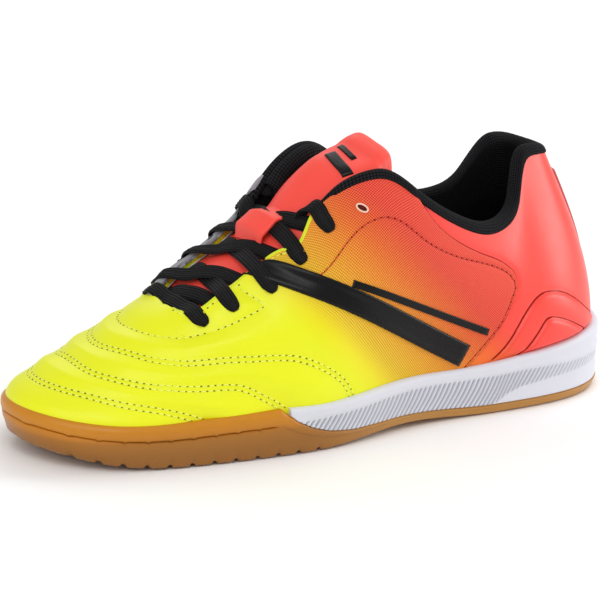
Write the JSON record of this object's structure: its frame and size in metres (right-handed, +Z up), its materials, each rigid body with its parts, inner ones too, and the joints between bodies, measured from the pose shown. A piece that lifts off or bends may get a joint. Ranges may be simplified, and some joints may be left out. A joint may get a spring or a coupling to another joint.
{
  "type": "indoor soccer shoe",
  "caption": "Left indoor soccer shoe with a flat gum rubber outsole, foam midsole, hollow low-cut upper, padded collar, tongue and flat laces.",
  "frame": {"origin": "middle of the shoe's bounding box on the plane that it stands on", "axes": "-X towards the toe, +X towards the heel, -Y to the outer (lateral) side, +Y to the inner (medial) side, +Z up"},
  "size_m": [0.2368, 0.0833, 0.1017],
  "materials": {
    "outsole": "translucent gum rubber, satin",
    "midsole": "moulded foam, satin, with fine ribs",
    "upper": "fluorescent yellow synthetic at the toe, woven quarter fading from yellow to coral",
    "tongue": "smooth coral red synthetic",
    "insole": "black textile",
    "laces": "flat woven black, ribbed",
    "trim": "black synthetic, satin"
  },
  "bodies": {
    "root": {"outsole": "outsole", "midsole": "midsole", "upper": "upper", "tongue": "tongue", "insole": "insole", "laces": "laces", "heel_strip": "trim"}
  },
  "joints": []
}
